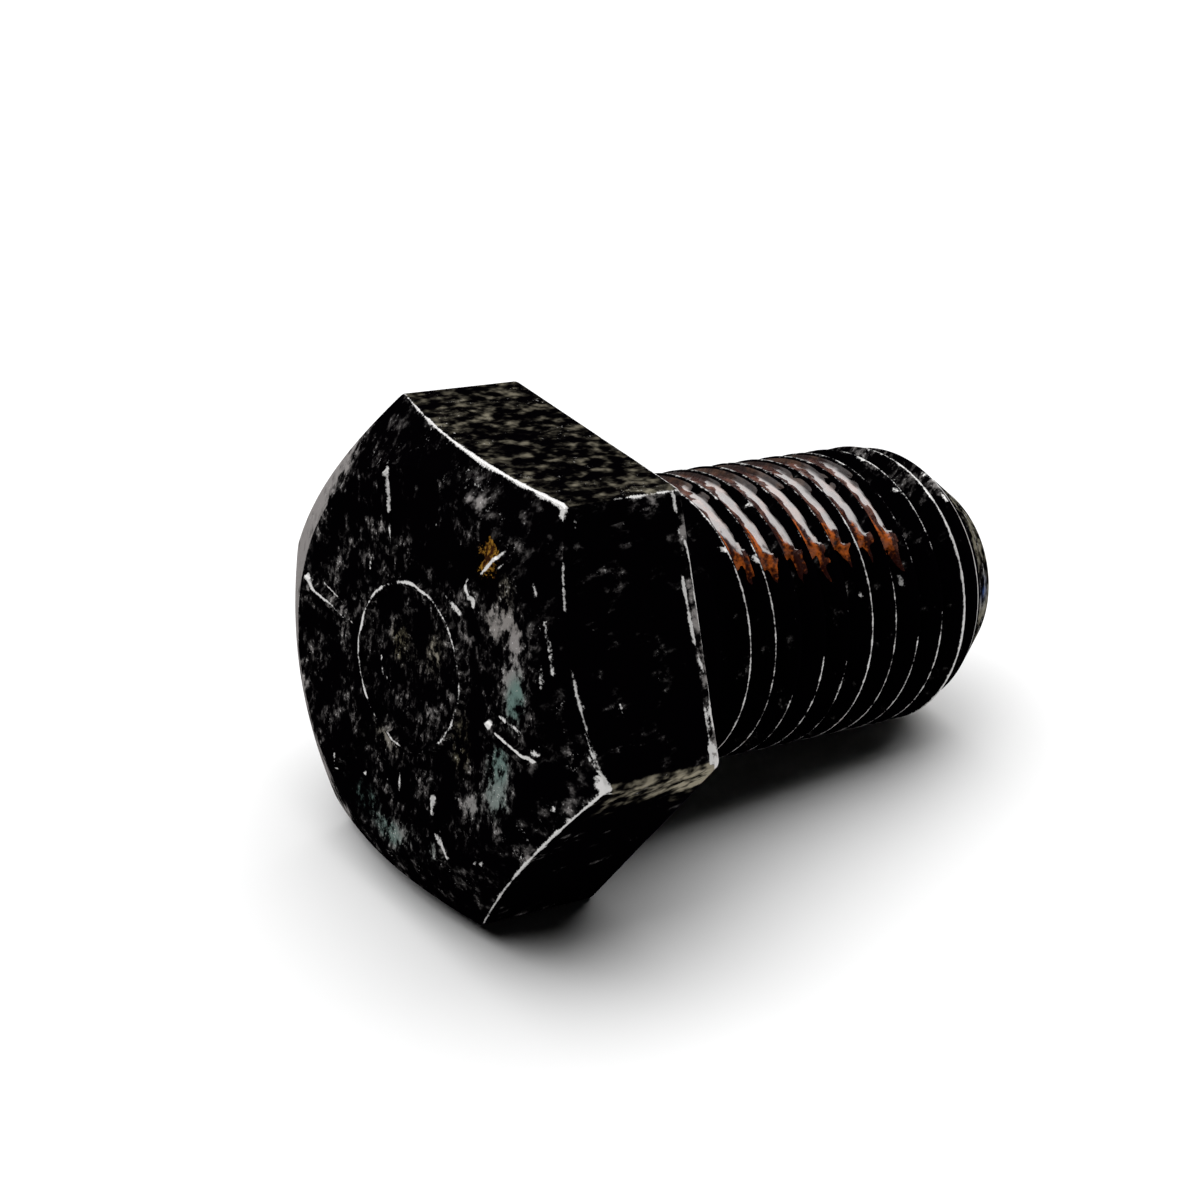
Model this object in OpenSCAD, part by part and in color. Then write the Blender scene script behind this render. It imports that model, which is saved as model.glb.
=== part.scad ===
// Patch lock bolt: a fine-thread hex head cap screw with a locking film in its thread.
// The screw lies at rest: tip to +X, one head flat down, Z up, lowest points at Z = 0.
// Units: mm.

/* [Head] */
// Width of the head across two opposite flats
across_flats = 14.29; // [13.6:0.01:16]
// Height of the hexagon from its outer face to its back edge
hex_h = 5.63; // [4.5:0.01:8]
// Radius of the flat outer face inside the chamfer
face_r = 6.14; // [6:0.01:6.6]
// Angle of the head chamfer from the outer face
chamfer_angle = 30; // [20:1:40]
// Radius of the washer face under the head
washer_face_r = 6.7; // [6:0.05:6.7]
// Height of the washer face
washer_face_h = 0.3; // [0.2:0.05:0.6]

/* [Grade marks] */
// Number of raised radial bars on the outer face
mark_count = 6; // [3:1:6]
// Width of one bar
mark_w = 0.42; // [0.3:0.02:0.6]
// Height of the bars and of the ring
mark_h = 0.12; // [0.08:0.01:0.25]
// Distance from the centre to the inner end of a bar
mark_from_r = 3.4; // [3.1:0.05:4]
// Distance from the centre to the outer end of a bar
mark_to_r = 5.95; // [5:0.05:5.95]
// Middle radius of the raised ring round the centre
ring_r = 2.57; // [2:0.01:2.8]
// Width of the raised ring
ring_w = 0.22; // [0.16:0.02:0.4]

/* [Shank] */
// Length from the washer face to the tip
shank_len = 16; // [16:0.1:25]
// Diameter of the plain neck under the head
neck_d = 9.4; // [9.2:0.02:9.44]
// Length of the neck with its run-out into the thread
neck_len = 3; // [2.8:0.05:3.6]
// Size of the fillet under the head
fillet = 0.5; // [0.3:0.05:0.7]
// Length of the tapered point
point_len = 2.4; // [1.6:0.1:2.8]
// Radius of the flat end of the tip
tip_r = 3.2; // [2.6:0.1:3.8]

/* [Thread] */
// Major diameter of the thread
thread_d = 9.525; // [9.5:0.005:10]
// Pitch of the thread
pitch = 1.0583; // [1.05:0.0001:1.1]
// Flat steps that make one turn
turn_steps = 40; // [24:8:48]

/* [Locking film] */
// Number of thread grooves the film fills
film_grooves = 7; // [4:1:7]
// Number of crests left bare between the neck and the film
film_skip = 0; // [0:1:1]
// Angle the film spans round the screw
film_span = 99; // [60:1:140]
// Direction of the end of the film, from +Y towards +Z
film_from = 45; // [15:1:60]
// Thickness of the film over a crest
film_skin = 0.05; // [0.04:0.01:0.1]
// Share of the thread depth left open in the middle of a groove
film_dip = 0.5; // [0.3:0.05:0.7]

/* [Hidden] */
// Sixty-degree thread form: crest flat and depth as shares of the pitch
crest_share = 1 / 8;
depth_share = 0.6134;
half_form_angle = 30;
crest_flat = crest_share * pitch;
thread_h = depth_share * pitch;
flank_w = thread_h * tan(half_form_angle);
major_r = thread_d / 2;
root_r = major_r - thread_h;

// Stations along the screw, measured from the outer face of the head
bearing_x = hex_h + washer_face_h;
tip_x = bearing_x + shank_len;
point_x = tip_x - point_len;
neck_x = bearing_x + neck_len;
neck_r = neck_d / 2;
flat_r = across_flats / 2;
hex_sides = 6;
half_side = 180 / hex_sides;
corner_r = flat_r / cos(half_side);

// The helix starts pointing down, buried in the neck, and ends past the tip
down = 270;
buried_turns = 1.1;
helix_x = neck_x - pitch * buried_turns;
helix_turns = ceil((tip_x - helix_x) / pitch) + 1;
last_step = helix_turns * turn_steps;

// At rest the back edge of the lowest flat and the last full crest touch the ground
rest_turns = floor((point_x - helix_x - crest_flat / 2) / pitch);
rest_x = helix_x + rest_turns * pitch + crest_flat / 2;
rest_tilt = atan((flat_r - major_r) / (rest_x - hex_h));
axis_z = flat_r * cos(rest_tilt) + hex_h * sin(rest_tilt);
box_from = -face_r * sin(rest_tilt);
box_to = tip_x * cos(rest_tilt) + tip_r * sin(rest_tilt);

// Depth by which parts of one solid run into each other, and the facets of round parts
join = 0.4;
round_fn = 96;
fillet_steps = 5;
steel = [0.16, 0.16, 0.17];
film_colour = [0.72, 0.30, 0.08];

// Radius of the crest at step i, rising from the root inside the neck
function crest_at(i) = root_r + thread_h * min(1, i / turn_steps);

// Index of corner j of the thread form at step i
function corner(i, j) = 4 * i + j;

// Point at step i of the helix, at radius r and dx along the axis from the middle of the crest
function on_helix(i, r, dx) =
    let(a = down + 360 * i / turn_steps)
    [helix_x + pitch * i / turn_steps + dx, r * cos(a), r * sin(a)];

// The four corners of the thread form at step i: root, crest, crest, root
function form_at(i) = [
    on_helix(i, root_r, -crest_flat / 2 - flank_w),
    on_helix(i, crest_at(i), -crest_flat / 2),
    on_helix(i, crest_at(i), crest_flat / 2),
    on_helix(i, root_r, crest_flat / 2 + flank_w)
];

// Two triangles over points a, b of one step and c, d of the next, split from a to d
function quad(a, b, c, d) = [[a, b, d], [a, d, c]];

// The same four points split from b to c
function quad_across(a, b, c, d) = [[a, b, c], [b, d, c]];

// Core and ridge as one closed solid, its ends buried or cut off by the module that uses it
module thread_body() {
    first_centre = corner(last_step + 1, 0);
    last_centre = first_centre + 1;
    last_turn = last_step - turn_steps;
    points = concat(
        [for (i = [0:last_step]) each form_at(i)],
        [[helix_x, 0, 0], [helix_x + (helix_turns - 1) * pitch, 0, 0]]
    );
    ridge = [for (i = [0:last_step - 1], j = [0:2])
        each quad(corner(i, j), corner(i, j + 1), corner(i + 1, j), corner(i + 1, j + 1))];
    roots = [for (i = [0:last_turn - 1]) let(next = i + turn_steps)
        each quad(corner(i, 3), corner(next, 0), corner(i + 1, 3), corner(next + 1, 0))];
    first_cap = [for (i = [0:turn_steps - 1]) [first_centre, corner(i, 0), corner(i + 1, 0)]];
    first_wall = [for (j = [0:3])
        [first_centre, j == 3 ? corner(turn_steps, 0) : corner(0, j + 1), corner(0, j)]];
    last_cap = [for (i = [last_turn:last_step - 1]) [last_centre, corner(i + 1, 3), corner(i, 3)]];
    last_wall = [for (j = [0:3])
        [last_centre, j == 0 ? corner(last_turn, 3) : corner(last_step, j - 1), corner(last_step, j)]];
    polyhedron(points, concat(ridge, roots, first_cap, first_wall, last_cap, last_wall));
}

// Threaded shank with its tapered point
module threaded_shank() {
    taper = point_len / (major_r - tip_r);
    intersection() {
        thread_body();
        rotate([0, 90, 0]) rotate_extrude($fn = round_fn)
            polygon([
                [0, helix_x - pitch],
                [major_r + join, helix_x - pitch],
                [major_r + join, point_x - join * taper],
                [tip_r, tip_x],
                [0, tip_x]
            ]);
    }
}

// Plain neck with the fillet under the head and the run-out into the thread
module neck() {
    run_out = neck_r - root_r + crest_flat;
    rotate([0, 90, 0]) rotate_extrude($fn = round_fn)
        polygon([
            [0, hex_h - join],
            [neck_r + fillet, hex_h - join],
            for (a = [0:90 / fillet_steps:90])
                [neck_r + fillet * (1 - sin(a)), bearing_x + fillet * (1 - cos(a))],
            [neck_r, neck_x - run_out],
            [root_r - crest_flat, neck_x],
            [0, neck_x]
        ]);
}

// Forged hexagon with its chamfered outer end, and the washer face under it
module head() {
    spread = 1 / tan(chamfer_angle);
    intersection() {
        rotate([0, 90, 0]) rotate([0, 0, half_side])
            cylinder(h = hex_h, r = corner_r, $fn = hex_sides);
        translate([-join, 0, 0]) rotate([0, 90, 0])
            cylinder(
                h = hex_h + 2 * join,
                r1 = face_r - join * spread,
                r2 = face_r + (hex_h + join) * spread,
                $fn = round_fn
            );
    }
    translate([hex_h - join, 0, 0]) rotate([0, 90, 0])
        cylinder(h = washer_face_h + join, r = washer_face_r, $fn = round_fn);
}

// Raised strength-grade bars towards the corners and the ring round the centre
module grade_marks() {
    for (k = [0:mark_count - 1])
        rotate([360 * k / mark_count, 0, 0]) translate([-mark_h, mark_from_r, -mark_w / 2])
            cube([mark_h + join, mark_to_r - mark_from_r, mark_w]);
    rotate([0, 90, 0]) rotate_extrude($fn = round_fn)
        translate([ring_r - ring_w / 2, -mark_h]) square([ring_w, mark_h + join]);
}

// Film that follows the thread: thin over the crests, sagging into the grooves it fills.
// Its underside uses the very corners and splits of the thread, so it seats face to face.
module film_body() {
    steps = round(film_span / 360 * turn_steps);
    start = round((film_from + 360 - down) / 360 * turn_steps);
    crest = ceil(buried_turns - start / turn_steps) + film_skip;
    first = crest * turn_steps + start;
    open_r = major_r - film_dip * thread_h;
    skin_r = major_r + film_skin;
    top = 3 * film_grooves - 1;
    section = top + 1 + 4 * film_grooves;
    points = [for (s = [0:steps]) let(i = first + s) each concat(
        [for (g = [0:film_grooves - 1]) let(n = i + g * turn_steps) each [
            on_helix(n, skin_r, crest_flat / 2),
            on_helix(n, open_r, pitch / 2),
            on_helix(n, skin_r, pitch - crest_flat / 2)
        ]],
        [for (g = [film_grooves - 1:-1:0]) let(n = i + g * turn_steps) each [
            form_at(n + turn_steps)[1],
            form_at(n + turn_steps)[0],
            form_at(n)[3],
            form_at(n)[2]
        ]]
    )];
    skin = [for (s = [0:steps - 1], j = [0:section - 1])
        let(a = s * section + j, b = s * section + (j + 1) % section)
        each j < top ? quad(a, b, a + section, b + section)
            : quad_across(a, b, a + section, b + section)];
    cap = [for (g = [0:film_grooves - 1])
        let(a = 3 * g, q = section - 4 * (g + 1))
        each concat(
            [[a, a + 1, q + 2, q + 3], [a + 1, a + 2, q, q + 1], [a + 1, q + 1, q + 2]],
            g == film_grooves - 1 ? [] : [[a + 2, a + 3, q - 1, q]]
        )];
    near = [for (f = cap) [for (k = [len(f) - 1:-1:0]) f[k]]];
    far = [for (f = cap) [for (v = f) v + steps * section]];
    polyhedron(points, concat(skin, near, far));
}

// Puts the screw, modelled along X from its outer face, in the pose it comes to rest in
module at_rest() {
    translate([-(box_from + box_to) / 2, 0, axis_z]) rotate([0, rest_tilt, 0]) children();
}

// The screw, forged and rolled in one piece
module bolt() {
    color(steel) at_rest() {
        head();
        grade_marks();
        neck();
        threaded_shank();
    }
}

// The locking film, dried on the thread
module lock_patch() {
    color(film_colour) at_rest() film_body();
}

bolt();
lock_patch();
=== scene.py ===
import bpy
import numpy as np
from mathutils import Matrix


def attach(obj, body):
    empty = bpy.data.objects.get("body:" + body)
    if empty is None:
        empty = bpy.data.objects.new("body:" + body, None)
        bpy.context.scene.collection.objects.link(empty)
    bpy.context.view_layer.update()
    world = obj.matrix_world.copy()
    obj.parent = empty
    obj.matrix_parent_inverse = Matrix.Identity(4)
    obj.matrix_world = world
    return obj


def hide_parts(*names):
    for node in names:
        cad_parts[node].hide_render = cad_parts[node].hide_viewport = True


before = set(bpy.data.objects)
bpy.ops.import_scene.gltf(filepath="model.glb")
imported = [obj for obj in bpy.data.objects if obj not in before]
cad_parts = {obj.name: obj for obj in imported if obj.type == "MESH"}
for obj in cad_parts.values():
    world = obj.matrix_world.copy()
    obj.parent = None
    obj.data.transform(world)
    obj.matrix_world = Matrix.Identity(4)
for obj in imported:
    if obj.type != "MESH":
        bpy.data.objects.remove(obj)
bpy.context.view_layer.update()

# ---------------------------------------------------------------------------
# The screw: hardened steel, forged and thread-rolled in one piece, then black
# oxidised. Head, neck, thread and point are one closed skin: rings of points
# round the axis, from the middle of the outer face to the middle of the tip.
# ---------------------------------------------------------------------------
# Sizes are in millimetres. Places along the axis count from the outer face of the head.
hex_h = 5.63
flat_r = 14.29 / 2
face_r = 6.14
chamfer = np.radians(30)
washer_r, washer_h = 6.7, 0.3
bearing_x = hex_h + washer_h
neck_r, neck_len = 4.7, 3.0
fillet = 0.5
major_r = 9.525 / 2
shank_len, point_len = 16.0, 2.4
tip_x = bearing_x + shank_len
point_x = tip_x - point_len
tip_r = 3.2
ring_r, ring_w = 2.57, 0.22
bar_in, bar_out, bar_w = 3.4, 5.95, 0.42
mark_h = 0.12

# Radii of the rounded edges: corners of the hexagon, both ends of its flats, outer face and tip
corner_round = 0.3
edge_round, back_round = 0.10, 0.22
face_round, end_round = 0.25, 0.08

# Columns: 44 to each sixth of a turn, from 30 degrees before a corner direction to 30 after it
per_corner = 44
columns = 6 * per_corner
step = (np.arange(per_corner) - per_corner / 2) * 60 / per_corner
near_corner = 15.0
corner_reach = 0.42


def column_angles(r, crowd):
    """Angles of all columns at radius r. Round each corner direction the columns between plus and
    minus near_corner degrees are pulled in, by the share crowd, until they lie within corner_reach
    of it. The others spread evenly over the rest."""
    half = np.radians(near_corner)
    reach = np.arcsin(np.minimum(corner_reach, r * np.sin(half)) / np.maximum(r, 1e-6))[:, None]
    u = np.radians(step)
    inner = np.arcsin(np.clip(np.sin(reach) * u / half, -1, 1))
    outer = np.sign(u) * (reach + (np.abs(u) - half) * (np.pi / 6 - reach) / (np.pi / 6 - half))
    pulled = np.where(np.abs(u) <= half, inner, outer)
    offset = crowd[:, None] * pulled + (1 - crowd[:, None]) * u
    corners = np.radians(60) * np.arange(6)[None, :, None]
    return (corners + offset[:, None, :]).reshape(len(r), columns)


def hexagon(angle):
    """Distance from the axis to a hexagon with rounded corners, at an angle round the axis: on a
    flat flat_r over the cosine of the angle from its middle, near a corner as far as the arc."""
    off = (angle + np.pi / 6) % (np.pi / 3) - np.pi / 6
    centre = (flat_r - corner_round) / np.cos(np.pi / 6)
    tangent = np.arctan(corner_round / 2 / (centre + corner_round * np.cos(np.pi / 6)))
    root = np.sqrt(np.maximum(corner_round ** 2 - (centre * np.sin(off)) ** 2, 0))
    on_flat = flat_r / np.cos(np.pi / 6 - np.abs(off))
    return np.where(np.abs(off) < tangent, centre * np.cos(off) + root, on_flat)


def rounded(x, r, turn_from, turn_to, radius, count):
    """Rings on an arc that rounds the profile corner (x, r) between two faces. The faces' normals
    lean turn_from and turn_to radians from -X towards outwards; the arc's centre lies inside."""
    n_from = np.array([-np.cos(turn_from), np.sin(turn_from)])
    n_to = np.array([-np.cos(turn_to), np.sin(turn_to)])
    inward = radius * (n_from + n_to) / (1 + n_from @ n_to)
    turn = np.linspace(turn_from, turn_to, count)[:, None]
    return x - inward[0] - radius * np.cos(turn), r - inward[1] + radius * np.sin(turn)


sections = []
crowd_r = 8.0


def add_rings(x, r, crowd):
    """Adds rings of the profile, at x along the axis and r from it. Their columns crowd at the
    corner directions by the share crowd: 1 in the head, where all rings have those of crowd_r, and
    0 in the shank."""
    x, r = np.broadcast_arrays(x, r)
    crowd = np.broadcast_to(crowd, len(r))
    mean_r = np.mean(np.broadcast_to(r, (len(r), columns)), axis=1)
    angles = column_angles(np.full(len(r), crowd_r) if crowd.min() == 1 else mean_r, crowd)
    sections.append(np.broadcast_arrays(x, r, angles))


# Outer face: rings up to the chamfer, crowded at the raised ring and at both ends of the bars
face_rings = np.concatenate([
    np.linspace(0.08, 2.32, 18), np.linspace(2.38, 2.76, 12), np.linspace(2.86, 3.30, 5),
    np.linspace(3.34, 3.52, 6), np.linspace(3.60, 5.80, 26), np.linspace(5.86, 6.06, 6),
])
face_angles = column_angles(face_rings, np.ones(len(face_rings)))
sections.append(np.broadcast_arrays(0.0, face_rings[:, None], face_angles))

# Chamfer, flats and back edge follow the hexagon, so each column has its own reach from the axis.
# The flats' rings crowd where the wear is finest: near a third of the way and at the back edge.
side_r = hexagon(column_angles(np.array([crowd_r]), np.ones(1)))
side_x = (side_r - face_r) * np.tan(chamfer)
arc_x, arc_r = rounded(0.0, face_r, 0.0, chamfer, face_round, 4)
top_x, top_r = rounded(side_x, side_r, chamfer, np.pi / 2, edge_round, 7)
back_x, back_r = rounded(hex_h, side_r, np.pi / 2, np.pi, back_round, 7)
up_chamfer = np.linspace(0, 1, 12)[1:-1, None]
along_side = np.array([
    0.03, 0.07, 0.13, 0.21, 0.28, 0.30, 0.32, 0.42, 0.54, 0.66, 0.77, 0.86,
    0.905, 0.92, 0.935, 0.95, 0.965, 0.98])[:, None]
add_rings(arc_x, arc_r, 1)
slope_x = arc_x[-1] + up_chamfer * (top_x[:1] - arc_x[-1])
slope_r = arc_r[-1] + up_chamfer * (top_r[:1] - arc_r[-1])
add_rings(slope_x, slope_r, 1)
add_rings(top_x, top_r, 1)
add_rings(top_x[-1:] + along_side * (back_x[:1] - top_x[-1:]), side_r, 1)
add_rings(back_x, back_r, 1)

# Underside of the head: back of the hexagon, washer face, bearing face and fillet. The columns
# spread out evenly on the way in.
inwards = np.array([0.35, 0.75])[:, None]
add_rings(hex_h, back_r[-1:] + inwards * (washer_r + 0.06 - back_r[-1:]), [0.8, 0.6])
under_x = [hex_h + 0.02, hex_h + 0.12, bearing_x - 0.06, bearing_x, bearing_x, bearing_x]
under_r = [washer_r + 0.02, washer_r, washer_r, washer_r - 0.05, 6.1, 5.6]
add_rings(np.array(under_x)[:, None], np.array(under_r)[:, None], [0.5, 0.45, 0.4, 0.3, 0.2, 0.1])
bend = np.radians(np.linspace(0, 90, 8))[:, None]
add_rings(bearing_x + fillet * (1 - np.cos(bend)), neck_r + fillet * (1 - np.sin(bend)), 0)

# Thread: a sixty-degree form, its helix starting at the bottom inside the neck. Its rings follow
# the helix, fifteen to a pitch, close together at both corners of the crest: form_steps are their
# places beside the middle of a crest. Turns round the axis go from +Y towards +Z.
pitch = 25.4 / 24
crest_share, depth_share, buried_turns = 1 / 8, 0.6134, 1.1
crest = crest_share * pitch
thread_h = depth_share * pitch
flank_slope = np.sqrt(3)
root_r = major_r - thread_h
neck_x = bearing_x + neck_len
helix_x = neck_x - buried_turns * pitch
down = 270
crest_round, root_round = 0.03, 0.05
form_steps = np.array([
    -0.47, -0.42, -0.32, -0.20, -0.11, -0.078, -0.05, 0, 0.05, 0.078, 0.11, 0.20, 0.32, 0.42, 0.47])


def smooth_max(a, b, k):
    """The larger of a and b, rounded where they cross over a width of about k."""
    return (a + b + np.sqrt((a - b) ** 2 + k * k)) / 2


def shank_radius(x, angle):
    """Radius of the neck, thread and point at x and angle. The ridge falls by flank_slope times the
    distance from its crest flat, down to the root; it rises over the first turn out of the neck,
    and the cone of the point cuts it off. Corners are rounded by smooth maxima."""
    turns = (angle - np.radians(down)) / (2 * np.pi)
    crest_number = np.round((x - helix_x) / pitch - turns)
    off = np.abs(x - helix_x - (crest_number + turns) * pitch)
    rise = np.clip(crest_number + turns, 0, 1)
    flank = smooth_max(off - crest / 2, 0, crest_round) * flank_slope
    thread = smooth_max(root_r + (rise * thread_h - flank), root_r, root_round)
    neck = neck_r - np.maximum(x - (neck_x - (neck_r - root_r)), 0)
    body = smooth_max(thread, np.where(x < neck_x + 1, neck, 0), crest_round)
    cone = tip_r + (tip_x - x) * (major_r - tip_r) / (tip_x - point_x)
    return -smooth_max(-body, -cone, crest_round)


shank_angle = column_angles(np.array([neck_r]), np.zeros(1))
neck_from = bearing_x + fillet + 0.15
shank_to = tip_x - 0.12
neck_rings = np.array([bearing_x + fillet + 0.08, neck_from])[:, None]
add_rings(neck_rings, shank_radius(neck_rings, shank_angle), 0)
thread_from = sum(len(x) for x, r, angle in sections)

turns_round = (shank_angle - np.radians(down)) / (2 * np.pi)
first_crest = int(np.floor((neck_from - helix_x) / pitch - turns_round.max())) - 1
last_crest = int(np.ceil((shank_to - helix_x) / pitch - turns_round.min())) + 1
crests = np.arange(first_crest, last_crest + 1)
ring_x = (helix_x + pitch * crests[:, None] + form_steps[None, :]).reshape(-1, 1)
helix_rows = np.clip(ring_x + pitch * turns_round, neck_from, shank_to)
sections.append(np.broadcast_arrays(helix_rows, shank_radius(helix_rows, shank_angle), shank_angle))
thread_to = thread_from + len(helix_rows)

# Flat end of the point, its edge a little rounded
end_x, end_r = rounded(tip_x, tip_r, np.pi / 2, np.pi, end_round, 5)
flat_end = np.linspace(2.9, 0.15, 14)[:, None]
add_rings(np.concatenate([end_x, np.full(flat_end.shape, tip_x)]), np.concatenate([end_r, flat_end]), 0)

# All points: ring after ring, then the middle of the outer face and the middle of the tip
x_all, r_all, angle_all = (np.concatenate(part).ravel() for part in zip(*sections))
x_all = np.append(x_all, [0.0, tip_x])
r_all = np.append(r_all, [0.0, 0.0])
angle_all = np.append(angle_all, [0.0, 0.0])


def grid_faces(grid):
    """Two triangles for each cell of a grid of point numbers."""
    a, b, c, d = grid[:-1, :-1], grid[:-1, 1:], grid[1:, 1:], grid[1:, :-1]
    return np.concatenate([np.stack([a, b, c], -1).reshape(-1, 3), np.stack([a, c, d], -1).reshape(-1, 3)])


# Faces: neighbouring rings are joined column by column. In the thread the last column meets the
# first one a pitch further on, and the points held back at either end of the thread fall together.
rings = (len(x_all) - 2) // columns
index = np.arange(rings * columns).reshape(rings, columns)
column = np.arange(columns)
held_low, held_high = helix_rows <= neck_from, helix_rows >= shank_to
last_low = held_low.sum(0) - 1
first_high = len(helix_rows) - held_high.sum(0)
row = np.arange(len(helix_rows))[:, None]
row = np.where(held_low, last_low, np.where(held_high, first_high, row))
index[thread_from:thread_to] = (thread_from + row) * columns + column
index[thread_from - 1] = (thread_from + last_low) * columns + column
high_ring = (thread_from + first_high) * columns + column

head_grid = index[:thread_from]
thread_grid = index[thread_from:thread_to]
tip_grid = np.vstack([high_ring, index[thread_to:]])
per_pitch = len(form_steps)
pitch_on = np.vstack([thread_grid[per_pitch:, :1], np.full((per_pitch, 1), high_ring[0])])
face_middle, tip_middle = rings * columns, rings * columns + 1
first, last = index[0], index[-1]
faces = np.concatenate([
    grid_faces(np.hstack([head_grid, head_grid[:, :1]])),
    grid_faces(np.hstack([thread_grid, pitch_on])),
    grid_faces(np.hstack([tip_grid, tip_grid[:, :1]])),
    np.stack([np.roll(first, -1), first, np.full(columns, face_middle)], 1),
    np.stack([last, np.roll(last, -1), np.full(columns, tip_middle)], 1),
])
whole = (faces[:, 0] != faces[:, 1]) & (faces[:, 1] != faces[:, 2]) & (faces[:, 2] != faces[:, 0])
used, faces = np.unique(faces[whole], return_inverse=True)
faces = faces.reshape(-1, 3)
x_all, r_all, angle_all = x_all[used], r_all[used], angle_all[used]
y_all, z_all = r_all * np.cos(angle_all), r_all * np.sin(angle_all)
skin = np.stack([x_all, y_all, z_all], 1)


def grain(points, size, seed):
    """Value noise from -1 to 1: random numbers on a cubic lattice with cells of the given
    size, blended between the eight corners of a cell by the smooth step 3t^2 - 2t^3."""
    lattice = np.random.default_rng(seed).uniform(-1, 1, (32, 32, 32))
    cell = np.asarray(points) / size
    low = np.floor(cell).astype(int)
    t = cell - low
    t = t * t * (3 - 2 * t)
    total = 0
    for corner in np.ndindex(2, 2, 2):
        weight = np.prod(np.where(corner, t, 1 - t), axis=-1)
        i, j, k = np.moveaxis((low + corner) % 32, -1, 0)
        total = total + weight * lattice[i, j, k]
    return total


# Raised marks on the outer face: a bar towards each corner and a ring round the middle, with
# sloping sides. The face itself is a little uneven, less so towards its edge.
on_face = (x_all < 0.01) & (r_all < face_r)
off = (angle_all + np.pi / 6) % (np.pi / 3) - np.pi / 6
beside_bar = np.abs(r_all * np.sin(off)) - bar_w / 2
past_bar = np.abs(r_all * np.cos(off) - (bar_in + bar_out) / 2) - (bar_out - bar_in) / 2
outside = np.hypot(np.maximum(beside_bar, 0), np.maximum(past_bar, 0))
outside = outside + np.minimum(np.maximum(beside_bar, past_bar), 0)
mark_side = 0.10
raised_bar = np.clip(0.5 - outside / mark_side, 0, 1)
raised_ring = np.clip(0.5 - (np.abs(r_all - ring_r) - ring_w / 2) / mark_side, 0, 1)
raised = np.maximum(raised_bar, raised_ring)
raised = raised * raised * (3 - 2 * raised)
uneven = 0.018 * grain(skin, 0.55, 3) + 0.010 * grain(skin, 0.22, 4)
uneven = uneven * np.clip((face_r - r_all) / 0.5, 0, 1)
skin[:, 0] -= np.where(on_face, mark_h * raised + uneven, 0)


def near(distance, width):
    """One on a line, falling evenly to zero at the given width from it."""
    return np.clip(1 - np.abs(distance) / width, 0, 1)


# Rubbed places and painted highlights: bare steel along the edges, the raised marks and the thread crests,
# where the wider crest lines near the top of the thread are a painted highlight. Places round
# the head are counted in corners from the +Y corner, the share of a flat following after the point.
turn = np.degrees(angle_all) % 360
side = np.floor(turn / 60).astype(int) % 6
along_flat = 0.5 + 0.5 * np.tan(np.radians(turn % 60 - 30)) / np.tan(np.pi / 6)
round_head = side + along_flat
edge_r = hexagon(angle_all)
edge_x = (edge_r - face_r) * np.tan(chamfer)
from_top = np.hypot(x_all - edge_x, r_all - edge_r)
from_back = np.hypot(x_all - hex_h, r_all - edge_r)
on_flats = (x_all > edge_x) & (x_all < hex_h + 0.1) & (r_all > washer_r)
top_places = [
    0, 1, 1.3, 1.7, 1.92, 2.0, 2.04, 2.07, 2.17, 2.2, 2.36, 2.38,
    2.56, 2.58, 2.72, 2.75, 2.86, 2.93, 2.96, 3, 3.95, 4, 6]
top_shine = [
    0.5, 0.9, 1.2, 1.25, 1.5, 1.5, 0.7, 0.1, 0.1, 1.1, 1.1, 0.0,
    0.0, 1.0, 1.0, 0.7, 0.75, 0.8, 1.5, 1.5, 1.0, 0.8, 0.5]
width_places = [0, 1, 1.5, 1.85, 2.0, 2.03, 2.06, 2.9, 2.98, 3.02, 3.1, 4, 6]
edge_widths = [0.10, 0.10, 0.13, 0.17, 0.25, 0.18, 0.13, 0.14, 0.25, 0.23, 0.12, 0.10, 0.10]
top_width = np.interp(round_head, width_places, edge_widths) * (1 + 0.35 * grain(skin, 0.4, 20))
back_places = [0, 1, 1.4, 1.6, 1.98, 2.0, 2.04, 2.92, 2.98, 3.01, 3.04, 3.6, 4, 6]
back_shine = [0.4, 0.4, 0.35, 0.9, 1.0, 0.9, 0.25, 0.25, 1.0, 1.0, 0.0, 0.0, 0.6, 0.4]
rub_and_highlight = np.maximum(
    near(from_top, top_width) * np.interp(round_head, top_places, top_shine),
    near(from_back - 0.08, 0.19) * np.interp(round_head, back_places, back_shine) * 1.2)

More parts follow.
